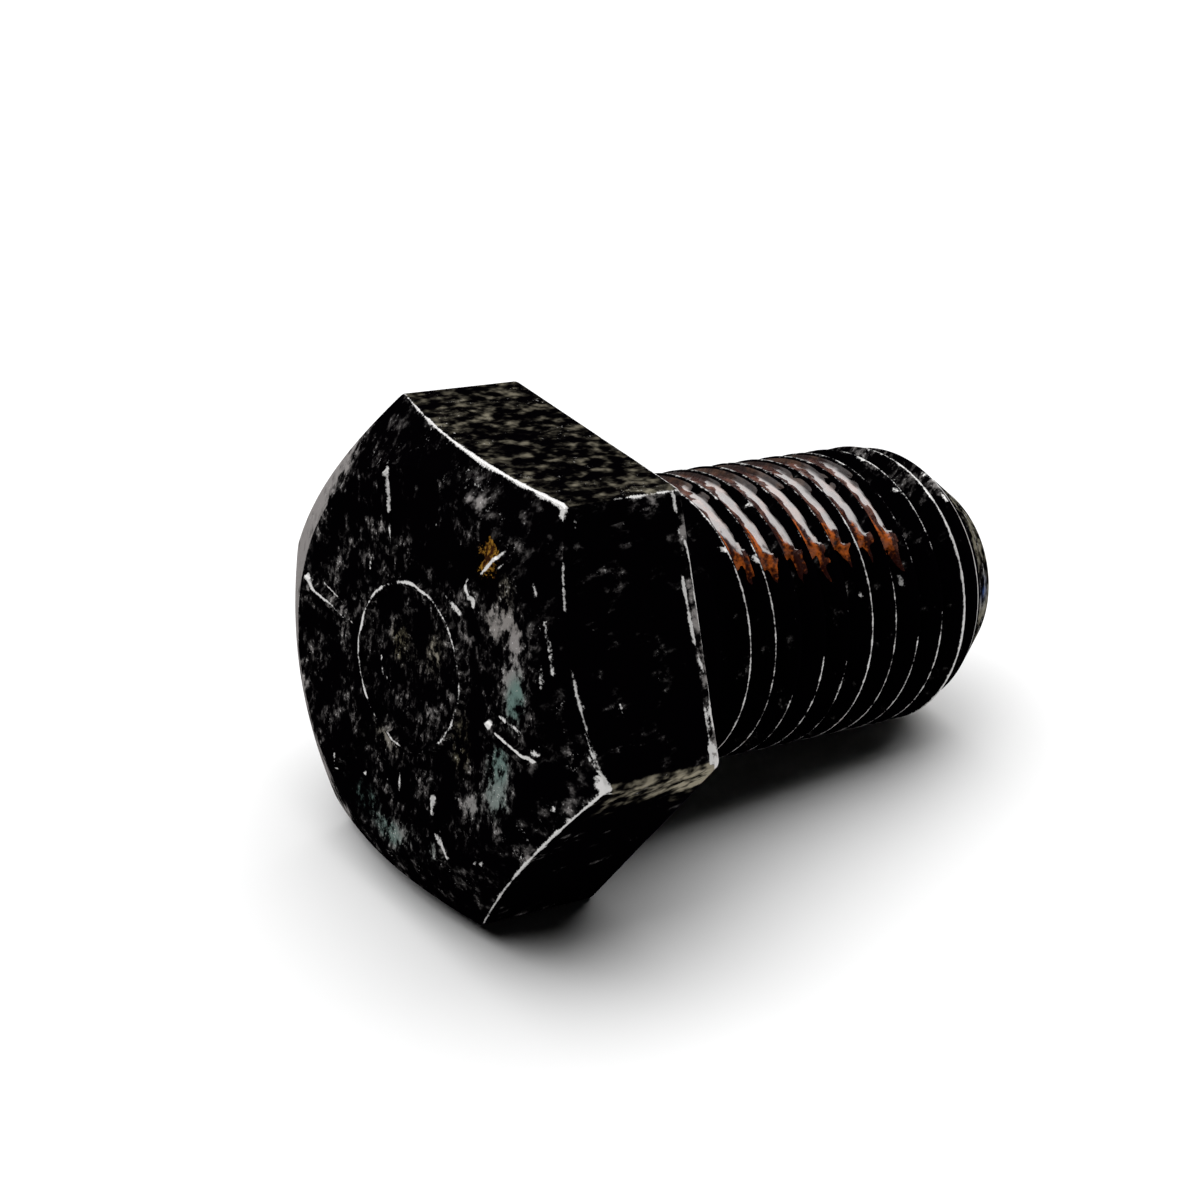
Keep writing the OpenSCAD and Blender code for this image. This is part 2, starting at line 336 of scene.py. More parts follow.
# Thread crests, counted along the helix: each has its shine at turns round the axis
crest_turns = (angle_all - np.radians(down)) / (2 * np.pi)
crest_number = np.round((x_all - helix_x) / pitch - crest_turns)
from_crest = x_all - helix_x - (crest_number + crest_turns) * pitch
in_thread = (x_all > bearing_x + 1.0) & (x_all < tip_x - 0.05)
crest_shine = {
    0: ([60, 330], [0.0, 0.0]),
    1: ([60, 330], [0.0, 0.0]),
    2: ([60, 90, 128, 135, 330], [0.5, 0.7, 0.8, 1.0, 0.9]),
    3: ([60, 120, 132, 150, 170, 330], [0.8, 0.6, 0.9, 1.0, 0.8, 0.9]),
    4: ([60, 120, 140, 184, 188, 330], [0.8, 0.6, 0.3, 0.2, 0.8, 0.9]),
    5: ([60, 120, 150, 170, 174, 330], [0.8, 0.6, 0.3, 0.2, 0.9, 0.9]),
    6: ([60, 120, 150, 172, 178, 330], [0.8, 0.6, 0.2, 0.2, 0.7, 0.9]),
    7: ([60, 110, 125, 150, 330], [0.8, 0.7, 0.9, 1.0, 1.0]),
    8: ([60, 120, 140, 150, 330], [0.8, 0.5, 0.3, 0.9, 0.9]),
    9: ([60, 110, 130, 150, 168, 174, 330], [0.8, 0.6, 0.6, 0.3, 0.3, 0.9, 0.9]),
    10: ([60, 100, 140, 160, 166, 330], [0.5, 0.9, 0.7, 0.4, 0.9, 0.9]),
    11: ([60, 90, 110, 330], [0.6, 0.8, 1.2, 1.2]),
    12: ([60, 90, 330], [0.8, 1.3, 1.2]),
}
turn_past_60 = (turn - 60) % 360 + 60
shine = np.full(len(turn), 0.8)
for number, (places, shines) in crest_shine.items():
    shine = np.where(crest_number == number, np.interp(turn_past_60, places, shines), shine)
# Near the top of the thread the crest lines are wider: a painted highlight of the film beside them
crest_width = np.interp(turn_past_60, [60, 88, 105, 125, 330], [0.16, 0.15, 0.10, 0.08, 0.085])
crest_width = crest_width + 0.03 * (crest_number == 11)
rub_and_highlight = np.where(in_thread, near(from_crest, crest_width) * shine, rub_and_highlight)


def from_stroke(u, v, run_u, run_v):
    """Distance to a straight stroke from points that lie u and v from its first end: the way along
    it is the dot product with its run, held between its ends."""
    reach = np.clip((u * run_u + v * run_v) / (run_u ** 2 + run_v ** 2 + 1e-9), 0, 1)
    return np.hypot(u - reach * run_u, v - reach * run_v)


# Small nicks in the thread and the flats: each row is the place along the screw and the turn in
# degrees of both ends, the width and the shine, which fades out stroke_spread widths to each side.
stroke_spread = 1.4
nicks = [
    (9.26, 120.5, 9.42, 125.0, 0.045, 1.2), (11.40, 105.0, 11.73, 109.5, 0.09, 0.9),
    (10.42, 129.0, 10.46, 131.0, 0.11, 1.2), (14.63, 150.5, 14.64, 151.8, 0.06, 1.0),
    (11.55, 155.0, 11.55, 156.0, 0.08, 0.8), (2.93, 132.5, 2.70, 134.5, 0.10, 0.8),
    (2.15, 163.8, 2.22, 166.6, 0.08, 1.1), (1.95, 164.9, 2.13, 165.3, 0.07, 0.9),
    (18.90, 98.0, 19.00, 104.0, 0.14, 0.8), (19.75, 113.0, 19.85, 117.0, 0.09, 0.9),
    (16.60, 146.0, 16.62, 150.0, 0.07, 0.9), (17.75, 108.0, 17.85, 113.0, 0.08, 0.8),
    (19.80, 100.0, 19.95, 110.0, 0.12, 0.9), (1.45, 123.0, 1.47, 123.8, 0.07, 1.0),
    (1.30, 179.2, 1.42, 180.4, 0.12, 1.5), (1.35, 181.2, 1.60, 182.0, 0.07, 1.0),
    # The worn back edge of the right flat: two ragged lines that run together and part again
    (5.43, 129.5, 5.52, 133.0, 0.09, 1.1), (5.52, 133.0, 5.57, 136.0, 0.09, 1.3),
    (5.57, 136.0, 5.58, 139.5, 0.12, 1.4), (5.56, 142.5, 5.57, 145.0, 0.10, 1.2),
    (5.55, 146.5, 5.57, 155.0, 0.08, 1.05), (5.22, 120.6, 5.26, 124.2, 0.10, 1.2),
    (5.24, 126.0, 5.26, 131.0, 0.11, 0.75), (5.14, 138.0, 5.16, 141.5, 0.09, 1.3),
    (5.16, 141.5, 5.20, 147.0, 0.08, 1.1), (5.20, 147.0, 5.22, 152.8, 0.10, 1.3),
    (5.28, 156.0, 5.46, 161.0, 0.13, 1.1), (5.46, 161.0, 5.58, 162.0, 0.09, 1.2),
    (5.58, 162.0, 5.56, 165.0, 0.07, 1.0), (5.56, 165.0, 5.44, 168.5, 0.09, 1.05),
    (5.44, 168.5, 5.50, 172.3, 0.10, 1.15), (5.50, 172.3, 5.51, 173.0, 0.13, 1.3),
    (5.24, 166.0, 5.27, 169.0, 0.09, 0.8), (5.27, 169.0, 5.26, 176.8, 0.07, 1.0),
    (5.24, 176.6, 5.22, 179.4, 0.10, 1.4), (5.24, 176.8, 5.45, 177.2, 0.07, 1.2),
    (5.40, 178.8, 5.46, 180.3, 0.14, 1.5),
]
wavy = x_all + 0.035 * grain(skin, 0.30, 6)
for x_from, turn_from, x_to, turn_to, width, brightness in nicks:
    round_axis = np.radians(turn - turn_from) * r_all
    gap = from_stroke(wavy - x_from, round_axis, x_to - x_from, np.radians(turn_to - turn_from) * r_all)
    rub_and_highlight = np.maximum(rub_and_highlight, near(gap, width * stroke_spread) * brightness * (in_thread | on_flats))

# Strokes of bare steel on the outer face, most of them broken edges of the raised marks. Each row
# is y and z of both ends, the width and the shine.
strokes = [
    (-4.10, 7.12, -4.24, 6.86, 0.15, 1.5), (-0.80, 7.19, -1.15, 6.92, 0.10, 1.1),
    (-0.38, 7.31, -0.60, 7.12, 0.09, 1.0), (2.73, 5.48, 2.74, 5.19, 0.16, 1.2),
    (2.66, 5.13, 2.19, 4.17, 0.07, 1.1), (2.05, 3.84, 1.80, 3.29, 0.07, 0.8),
    (0.03, 4.85, -0.15, 4.33, 0.07, 0.85), (2.75, 2.21, 2.73, 1.99, 0.09, 1.1),
    (-0.50, 6.79, -0.61, 6.70, 0.12, 1.1), (-1.16, 6.55, -1.56, 6.58, 0.08, 0.9),
    (5.82, 0.25, 5.27, -0.01, 0.13, 1.1), (5.27, -0.01, 4.21, -0.01, 0.07, 1.0),
    (4.21, -0.01, 3.14, -0.12, 0.06, 0.8), (4.90, 0.41, 3.90, 0.26, 0.06, 0.9),
    (-1.07, 2.90, -1.82, 2.72, 0.14, 0.85), (1.47, -0.43, 1.25, -0.90, 0.07, 0.9),
    (1.25, -0.90, 0.86, -0.99, 0.07, 0.9), (-3.22, 5.42, -2.60, 4.42, 0.08, 1.2),
    (-3.50, 5.29, -3.02, 4.68, 0.05, 0.85), (-1.94, 3.77, -2.34, 3.25, 0.14, 1.1),
    (-3.98, 0.49, -4.86, 0.63, 0.10, 1.0), (-4.86, 0.63, -5.51, 0.65, 0.07, 0.9),
    (-4.51, 0.11, -6.30, 0.07, 0.07, 1.3), (-4.06, 0.20, -4.17, 0.14, 0.14, 1.4),
    (-6.15, 0.38, -6.25, 0.31, 0.14, 1.4), (-2.19, -3.36, -2.37, -3.85, 0.09, 1.1),
    (-2.69, -4.37, -3.29, -4.91, 0.08, 1.0), (-2.74, -4.22, -2.87, -4.50, 0.07, 0.9),
    (2.80, -4.59, 2.67, -5.06, 0.08, 0.9), (-0.31, -3.47, -0.53, -4.06, 0.11, 1.1),
    (0.22, -3.88, 0.07, -4.40, 0.06, 0.8), (1.30, -4.36, 1.26, -4.49, 0.10, 1.0),
    (-5.20, 4.16, -5.62, 3.55, 0.09, 1.0), (-5.62, 3.55, -6.05, 2.75, 0.09, 1.1),
    (-5.56, 3.04, -5.96, 2.14, 0.08, 1.0), (-6.09, -2.45, -6.28, -2.13, 0.10, 0.95),
    (-6.27, -2.58, -6.46, -2.52, 0.10, 0.95), (-4.49, -4.45, -4.79, -4.30, 0.09, 0.95),
    (-4.44, 4.91, -4.70, 4.63, 0.08, 0.9), (-5.14, 3.95, -5.38, 3.69, 0.06, 0.8),
    (-4.40, 6.66, -4.52, 6.44, 0.07, 0.9), (-7.42, 1.36, -7.64, 1.02, 0.12, 0.9),
    (-7.62, 0.78, -7.96, 0.52, 0.13, 1.0), (-8.00, 0.30, -8.10, -0.02, 0.16, 1.5),
    (-7.25, -0.58, -7.62, -0.62, 0.08, 1.0), (-6.84, -1.12, -6.95, -1.30, 0.10, 0.9),
    (-7.25, -1.25, -7.45, -1.40, 0.10, 0.9),
]
front = (x_all < edge_x - 0.02) & (x_all < 1.5)
rub_and_highlight = np.where(on_face, 0, rub_and_highlight)
for y_from, z_from, y_to, z_to, width, brightness in strokes:
    gap = from_stroke(y_all - y_from, z_all - z_from, y_to - y_from, z_to - z_from)
    rub_and_highlight = np.maximum(rub_and_highlight, front * near(gap, width * stroke_spread) * brightness)

# The raised ring is rubbed too, in some places more than in others
ring_places = [0, 35, 60, 78, 100, 130, 150, 200, 220, 224, 255, 262, 284, 288, 340, 360]
ring_shine = [0.95, 0.8, 0.5, 1.1, 1.0, 0.8, 0.7, 0.7, 0.6, 0.3, 0.3, 0.8, 0.8, 0.6, 0.85, 0.95]
ring_wear = near(r_all - ring_r - 0.02 - 0.05 * grain(skin, 0.35, 5), 0.11)
ring_wear = ring_wear * np.interp(turn, ring_places, ring_shine)
rub_and_highlight = np.maximum(rub_and_highlight, on_face * ring_wear * (1.1 + 0.45 * grain(skin, 0.28, 10)))

# Scuffed places and painted reflections: shares of grey, patchy wear in which the bright ground's reflection
# is painted on the outer face, and its colour from teal (-1) through grey to olive (+1). Each patch is its
# middle's y and z, its width and height, its share and its colour.
on_chamfer = (x_all < edge_x) & (r_all > face_r)
on_top_flat, on_right_flat = on_flats & (side == 1), on_flats & (side == 2)
scuff_and_sheen = np.where(on_face | on_chamfer, 0.25, np.where(on_right_flat, -0.24, -0.15))
scuff_and_sheen = scuff_and_sheen - 0.24 * on_face * np.clip(z_all - 3.4, 0, 1)
# The top flat is paler and more olive: partly wear, partly painted sheen of the overhead light
scuff_and_sheen = np.where(on_top_flat, 0.16, scuff_and_sheen)
tint = np.where(on_top_flat, 0.7, 0.15)
patches = [
    (-3.6, 4.3, 0.45, 0.7, 0.35, 0.6), (-3.4, 3.2, 0.55, 0.7, 0.85, 0.3),
    (-4.3, 3.3, 0.4, 0.6, 0.75, 0.3), (-4.6, 2.3, 0.45, 0.8, 0.95, 0.0),
    (-5.0, 1.4, 0.4, 0.7, 0.85, -0.9), (-2.9, 2.1, 0.4, 0.4, 0.35, 0.2),
    (-4.8, -0.9, 0.5, 0.8, 0.75, -0.8), (-5.0, -1.9, 0.6, 0.6, 0.75, -0.5),
    (-4.1, -2.7, 0.6, 0.5, 0.65, -0.1), (-3.0, -1.1, 0.5, 0.9, 0.35, 0.9),
    (0.6, -2.75, 0.7, 0.3, 0.5, 0.5), (-0.1, -2.9, 0.4, 0.3, 0.4, 0.4),
    (1.3, -5.2, 0.9, 0.5, 0.35, -0.9), (-0.4, -5.6, 0.8, 0.4, 0.40, -0.7),
    (-1.3, -5.1, 0.5, 0.5, 0.42, -0.2), (-2.6, -5.2, 0.4, 0.8, 0.30, -0.3),
    (3.6, 4.6, 1.2, 0.25, 0.30, 0.1), (1.2, 5.4, 0.7, 0.30, 0.30, 0.0),
    (-0.7, 5.1, 0.5, 0.5, 0.42, 0.0), (0.6, 0.5, 0.5, 0.6, 0.40, 0.9), (-1.0, 0.9, 0.5, 0.7, 0.35, 0.6),
    (-0.2, 0.4, 0.5, 0.4, 0.35, 0.4), (3.6, -0.8, 0.5, 0.9, 0.25, 0.1),
    (-1.0, -1.6, 0.9, 0.6, 0.25, 0.2), (2.2, 1.0, 0.4, 1.2, 0.2, 0.2),
]
for y_mid, z_mid, wide, tall, amount, hue in patches:
    spot = on_face * np.exp(-((y_all - y_mid) / wide) ** 2 - ((z_all - z_mid) / tall) ** 2)
    scuff_and_sheen = scuff_and_sheen + amount * spot
    tint = tint + (hue - tint) * np.clip(1.6 * spot, 0, 1)

# The left part of the chamfer is painted an even pale grey, a painted reflection of the bright surroundings.
# The flats beside their corners and the back edge of the right flat are worn more evenly.
left_reflection_turns, left_reflection_shares = [-85, -60, -20, 0, 22, 38, 56], [0.0, 1.1, 1.8, 2.1, 1.9, 1.2, 0.0]
left_painted_reflection = np.interp((turn + 180) % 360 - 180, left_reflection_turns, left_reflection_shares)
scuff_and_sheen = np.where(on_chamfer, np.maximum(scuff_and_sheen, left_painted_reflection - 0.8 * np.clip(7.0 - r_all, 0, 1)), scuff_and_sheen)
from_corner = r_all * np.radians(np.abs((turn - 180 + 30) % 60 - 30))
nearest_corner = np.round(turn / 60).astype(int) % 6
beside_corner = near(from_corner / 0.62, 1) ** 0.5 * on_flats
scuff_and_sheen = np.maximum(scuff_and_sheen, 0.4 * beside_corner * (nearest_corner != 3))
strip_places, strip_shares = [2.0, 2.3, 2.45, 2.7, 2.75, 2.9, 3.0], [0.5, 0.6, 0.95, 0.95, 0.4, 0.9, 1.0]
back_strip = on_right_flat * np.clip((x_all - hex_h + 0.45) / 0.1, 0, 1)
scuff_and_sheen = np.maximum(scuff_and_sheen, back_strip * np.interp(round_head, strip_places, strip_shares))

# Dull mottled wear along the corner between the right flat and the one below, mostly on the lower
# one. All over the top flat the mottle is partly wear and partly painted sheen of the overhead light.
on_lower_flat = side == 3
past_corner = np.where(on_lower_flat, 1.45, 0.16) + 0.30 * grain(skin, 0.7, 9) * on_lower_flat
corner_wear = np.clip(2.6 - 2.6 * from_corner / past_corner, 0, 1) * on_flats * (nearest_corner == 3)
mottle_and_sheen = corner_wear * np.interp(x_all, [1.0, 1.8, 3.0, 4.2, 5.3], [0.35, 0.70, 0.88, 1.0, 1.5])
greenish = np.exp(-((x_all - 2.2) / 1.0) ** 2 - ((y_all - 2.3) / 0.8) ** 2)
mottle_and_sheen = np.where(on_top_flat, np.maximum(mottle_and_sheen, 0.41 + 0.25 * greenish), mottle_and_sheen)
mottle_and_sheen = mottle_and_sheen * np.clip((hex_h - 0.02 - x_all) / 0.08, 0, 1)

# The corner between the top flat and the right one is rubbed bare towards the back
corner_line = near(from_corner, 0.13) * on_flats * (nearest_corner == 2) * np.clip((x_all - 2.8) / 0.2, 0, 1)
rub_and_highlight = np.maximum(rub_and_highlight, corner_line * 0.85)

# Shank: the thread is nearly clean apart from paler grey on the upper side of its last crests. The cone of
# the point is painted mottled pale grey, a painted reflection of the bright ground, with one blue patch. On
# the outer face rust lies on the upper right bar.
on_cone = (x_all > point_x + 0.9) & (x_all < tip_x - 0.05)
last_crests = in_thread & (x_all > 17.7) & (turn > 60)
scuff_and_sheen = np.where(in_thread, -0.12, scuff_and_sheen)
scuff_and_sheen = np.where(last_crests, 0.62 * np.clip((122 - turn) / 12, 0, 1) - 0.12, scuff_and_sheen)
# The cone's pale grey is a painted reflection of the ground
scuff_and_sheen = np.where(on_cone, 0.85, scuff_and_sheen)
tint = np.where(on_cone, 0.7, tint)
soft = np.where(on_top_flat | on_cone | on_chamfer, 1.0, 0.0)
blue = np.exp(-((x_all - 20.95) / 0.5) ** 2 - ((turn - 160) * r_all * np.pi / 180 / 0.45) ** 2)
rust = on_face * np.exp(-((y_all + 2.70) / 0.50) ** 2 - ((z_all - 5.05) / 0.70) ** 2)

# How it lies: it was dropped on its side. One head flat touches the ground along its back edge and
# the last full thread crest holds up the far end, so the whole screw leans tip down. Its reach
# along X is centred on the origin.
MM = 0.001
rest_turns = np.floor((point_x - helix_x - crest / 2) / pitch)
rest_x = helix_x + rest_turns * pitch + crest / 2
lean = np.arctan((flat_r - major_r) / (rest_x - hex_h))
reach_from, reach_to = -face_r * np.sin(lean), tip_x * np.cos(lean) + tip_r * np.sin(lean)
lie_x = -(reach_from + reach_to) / 2
lie_z = flat_r * np.cos(lean) + hex_h * np.sin(lean)


def at_rest(points):
    """Turns points round Y by the lean, lifts them onto the ground and gives metres."""
    x, y, z = points.T
    turned_x = x * np.cos(lean) + z * np.sin(lean) + lie_x
    turned_z = z * np.cos(lean) - x * np.sin(lean) + lie_z
    return np.stack([turned_x, y, turned_z], 1) * MM


def mesh_piece(name, points, faces, marks):
    """A smooth-shaded mesh from whole arrays: points in millimetres, triangles as rows of three
    indices, and one named number per point for each entry of marks."""
    mesh = bpy.data.meshes.new(name)
    mesh.vertices.add(len(points))
    mesh.vertices.foreach_set("co", at_rest(points).ravel())
    mesh.loops.add(faces.size)
    mesh.loops.foreach_set("vertex_index", faces.ravel().astype(np.int32))
    mesh.polygons.add(len(faces))
    mesh.polygons.foreach_set("loop_start", np.arange(0, faces.size, 3, dtype=np.int32))
    mesh.polygons.foreach_set("loop_total", np.full(len(faces), 3, dtype=np.int32))
    for mark, values in marks.items():
        layer = mesh.attributes.new(mark, "FLOAT", "POINT")
        layer.data.foreach_set("value", np.asarray(values, dtype=np.float32))
    mesh.update(calc_edges=True)
    mesh.validate()
    mesh.shade_smooth()
    piece = bpy.data.objects.new(name, mesh)
    bpy.context.collection.objects.link(piece)
    return piece


screw = mesh_piece("screw", skin, faces, {
    "rub_and_highlight": rub_and_highlight, "scuff_and_sheen": scuff_and_sheen, "tint": tint, "rust": rust, "soft": soft, "blue": blue, "mottle_and_sheen": mottle_and_sheen})
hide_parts("bolt")
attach(screw, "root")


class Wire:
    """An output of a shader tree. + - and * on wires and numbers add a Math node each."""

    def __init__(self, paint, socket):
        self.paint = paint
        self.socket = socket

    def math(self, operation, *values):
        return self.paint.node("ShaderNodeMath", {"operation": operation}, dict(enumerate(values)))

    def __add__(self, other):
        return self.math("ADD", self, other)

    def __sub__(self, other):
        return self.math("SUBTRACT", self, other)

    def __rsub__(self, other):
        return self.math("SUBTRACT", other, self)

    def __mul__(self, other):
        return self.math("MULTIPLY", self, other)

    __radd__ = __add__
    __rmul__ = __mul__


class Paint:
    """The node tree of a new material, or of a world that is handed in. node() adds any node:
    settings first, then values or wires of inputs."""

    def __init__(self, name, world=None):
        self.material = world or bpy.data.materials.new(name)
        self.material.use_nodes = True
        self.tree = self.material.node_tree
        self.shader = self.tree.nodes["Background" if world else "Principled BSDF"]

    def node(self, kind, settings=None, inputs=None, output=0):
        made = self.tree.nodes.new(kind)
        for key, value in (settings or {}).items():
            setattr(made, key, value)
        self.fill(made, inputs or {})
        return Wire(self, made.outputs[output])

    def fill(self, made, inputs):
        for key, value in inputs.items():
            if isinstance(value, Wire):
                self.tree.links.new(value.socket, made.inputs[key])
            else:
                made.inputs[key].default_value = value

    def position(self, stretch=(1, 1, 1)):
        """Object coordinates in millimetres, stretched."""
        place = self.node("ShaderNodeTexCoord", output="Object")
        return self.node("ShaderNodeMapping", {}, {"Vector": place, "Scale": tuple(s / MM for s in stretch)})

    def noise(self, place, size, detail=3.0, rough=0.55):
        """Noise with features of about the given size in millimetres, from 0 to 1."""
        return self.node("ShaderNodeTexNoise", {}, {
            "Vector": place, "Scale": 1 / size, "Detail": detail, "Roughness": rough})

    def step(self, value, low, high):
        """Zero below low, one above high, smooth between."""
        return self.node("ShaderNodeMapRange", {"interpolation_type": "SMOOTHSTEP"}, {
            "Value": value, "From Min": low, "From Max": high, "To Min": 0.0, "To Max": 1.0})

    def mark(self, name):
        """The piece's own number of that name at each point."""
        return self.node("ShaderNodeAttribute", {"attribute_name": name}, output="Fac")

    def mix(self, share, a, b):
        """Colour a turning into colour b."""
        return self.node("ShaderNodeMix", {"data_type": "RGBA"}, {0: share, 6: a, 7: b}, output=2)


oxide_black = (0.0006, 0.0004, 0.0007, 1)
# The teal, grey and olive scuff colours also paint reflections and sheen, the dull colour also paints sheen,
# and bare steel also paints crest highlights
teal_wear_and_sheen, grey_wear_and_sheen, olive_wear_and_sheen = (0.12, 0.19, 0.17, 1), (0.24, 0.225, 0.22, 1), (0.19, 0.17, 0.11, 1)
blue_patch = (0.03, 0.07, 0.22, 1)
dull_wear_and_sheen = (0.30, 0.27, 0.20, 1)
glint_grey = (0.50, 0.49, 0.48, 1)
dark_rust, yellow_rust = (0.03, 0.010, 0.004, 1), (0.30, 0.15, 0.02, 1)
bare_steel_and_highlight = (0.62, 0.61, 0.60, 1)

steel = Paint("black_steel")
place = steel.position()
stroke = steel.noise(steel.position(stretch=(0.45, 1.0, 0.6)), 0.19, 4.0, 0.62)
flake = steel.noise(steel.position(stretch=(0.3, 1.0, 1.0)), 0.42, 3.0, 0.6)
speck = steel.noise(place, 0.075, 2.0)
smear = steel.noise(steel.position(stretch=(0.35, 1.0, 1.0)), 0.36)
cloud = steel.noise(place, 1.1, 2.0)
breaks = steel.noise(place, 0.45)

# Rubbed steel and painted crest highlights: the marked lines, eaten away where the noise is low
rubbed_and_highlight = steel.step(steel.mark("rub_and_highlight") + (speck - 0.5) * 0.9 + (breaks - 0.5) * 1.5, 0.58, 0.92)

# Scuffs and painted reflections: short strokes of grey in loose clusters, denser and paler where the mark is
# stronger
wear_and_sheen = steel.mark("scuff_and_sheen") * 0.55 + (flake - 0.5) * 1.1 + (cloud - 0.5) * 1.3
strong = steel.step(wear_and_sheen, 0.38, 0.68)
cluster = steel.step(wear_and_sheen, 0.12, 0.50)
fibre = stroke + (smear - stroke) * steel.mark("soft") * 0.75
patch = cluster * steel.step(fibre + strong * 0.24 + (speck - 0.5) * 0.2, 0.46, 0.78)
solid = steel.step(wear_and_sheen + (fibre - 0.5) * 0.8, 0.66, 1.12)
patch = patch + (1 - patch) * solid
wear_and_sheen_tint = steel.mark("tint")
wear_and_sheen_colour = steel.mix(steel.step(wear_and_sheen_tint, -1.0, 0.1), teal_wear_and_sheen, grey_wear_and_sheen)
wear_and_sheen_colour = steel.mix(steel.step(wear_and_sheen_tint, 0.1, 1.0), wear_and_sheen_colour, olive_wear_and_sheen)
wear_and_sheen_colour = steel.mix(steel.mark("blue"), wear_and_sheen_colour, blue_patch)

# Mottled wear and painted sheen lie under the scuffs and painted reflections, then come painted glints in
# the clusters, rust, and the rubbed steel with its painted highlights
mottled_and_sheen = steel.mark("mottle_and_sheen")
cells = steel.noise(steel.position(stretch=(0.65, 1.0, 1.0)), 0.36, 2.0, 0.5)
dull = steel.step(cells + (mottled_and_sheen - 0.41) * 0.20 + (stroke - 0.5) * 0.25, 0.44, 0.78)
glint = cluster * steel.step(stroke * 0.6 + speck, 0.98, 1.06)
rusted = steel.mark("rust")
rusty = steel.step(rusted * 1.2 + (speck - 0.5) * 1.6 + (flake - 0.5) * 1.8, 0.62, 0.90)
rusty = rusty * steel.step(rusted, 0.05, 0.3)
colour = steel.mix(dull * dull * mottled_and_sheen, oxide_black, dull_wear_and_sheen)
colour = steel.mix(patch, colour, wear_and_sheen_colour)
colour = steel.mix(glint, colour, glint_grey)
colour = steel.mix(rusty, colour, steel.mix(steel.step(stroke, 0.42, 0.60), dark_rust, yellow_rust))
colour = steel.mix(rubbed_and_highlight, colour, bare_steel_and_highlight)
bump = steel.node("ShaderNodeBump", {}, {"Height": speck + flake, "Strength": 0.4, "Distance": 0.04 * MM})
steel.fill(steel.shader, {
    "Base Color": colour, "Metallic": rubbed_and_highlight * 0.6, "Roughness": 0.5, "Specular IOR Level": 0.0,
    "Normal": bump})
screw.data.materials.append(steel.material)

# ---------------------------------------------------------------------------
# The locking film: a drop of resin brushed along the upper side of the thread.
# It dried into a glossy red-brown skin that sags in each groove, runs out in
# thin orange tongues at its lower edge and leaves the crests bare.
# ---------------------------------------------------------------------------
# The film fills seven grooves from crest number 2 on. It spans the turns from film_top to film_low
# and thins out at low_ends, one for each groove, all in degrees.
film_grooves, film_first = 7, 2
film_top, film_low = 45.0, 152.0
low_ends = np.array([134, 137, 135, 136, 135, 134, 139])
sag, below_crest = 0.30, 0.055
sunk_in = 0.030
phases = np.radians(np.linspace(film_top, film_low, 172))
across = np.linspace(0, film_grooves, film_grooves * 26 + 1)
phase, groove = np.meshgrid(phases, across)
film_turn = np.degrees(phase)
film_x = helix_x + pitch * (film_first + groove + (phase - np.radians(down)) / (2 * np.pi))
v = groove % 1.0
bare = shank_radius(film_x, phase)
spots = np.stack([film_x, bare * np.cos(phase), bare * np.sin(phase)], -1)

# Upper side: each groove is filled to a sagging, lumpy level that falls to the root at the film's
# far edge and where it runs out below. v is the share of the way across a groove, and past the
# angle in degrees past the lower end.
lumps = 0.030 * grain(spots, 0.8, 11) + 0.022 * grain(spots, 0.36, 12) + 0.008 * grain(spots, 0.18, 14)
groove_number = np.minimum(np.floor(groove), film_grooves - 1).astype(int)
past = film_turn - (low_ends[groove_number] + 2.5 * grain(spots, 0.5, 13))
sagging = sag - 0.06 * np.clip((104 - film_turn) / 14, 0, 1)
level = major_r - below_crest - sagging * (1 - np.abs(2 * v - 1) ** 2.6) + lumps
to_right = np.clip((v - 0.45) / 0.4, 0, 1)
falls = np.clip((past + 12 - 5 * to_right) / 8, 0, 1)
level = level - falls ** 1.4 * (thread_h - sag + 0.02)
start = np.clip((film_turn - film_top) / 6, 0, 1)
level = level - (1 - start) ** 2 * (thread_h - sag + 0.05)

# The lower edge drains out in tongues, cut into strands by streaks that run round the screw
drain = np.clip((past + 25 - 18 * to_right + 5 * grain(spots, 0.25, 19)) / 13, 0, 1)
runs = np.stack([film_x - pitch * phase / (2 * np.pi), 0.12 * major_r * phase, 0 * phase], -1)
streaks = grain(runs, 0.10, 16)
ends = np.clip((past + 13 + 9 * streaks) / 18, 0, 1)
tongue = np.abs(v - 0.64 - 0.14 * ends + 0.05 * grain(spots, 0.3, 15))
tongue = tongue - 0.24 * (1 - ends) + 0.16 * np.clip(-streaks, 0, 1)
tongue = np.clip(0.5 - tongue / 0.14, 0, 1) * (drain > 0) * (ends < 1)

# Above the tongues a thin skin also covers the flanks, up to the crests
flanks = np.clip((0.405 - np.abs(v - 0.5)) / 0.03, 0, 1)
flanks = flanks * np.clip((-past - 36 + 14 * grain(spots, 0.4, 18)) / 10, 0, 1)
flanks = flanks * np.clip((film_turn - film_top - 3) / 6, 0, 1)
top = np.maximum(level, bare - 0.012 + 0.034 * np.maximum(tongue, flanks))
thin = np.clip((bare + 0.026 - level) / 0.02, 0, 1) * (drain <= 0)


def shell(radius):
    """Points of the film's grid at a radius from the axis."""
    return np.stack([film_x, radius * np.cos(phase), radius * np.sin(phase)], -1).reshape(-1, 3)


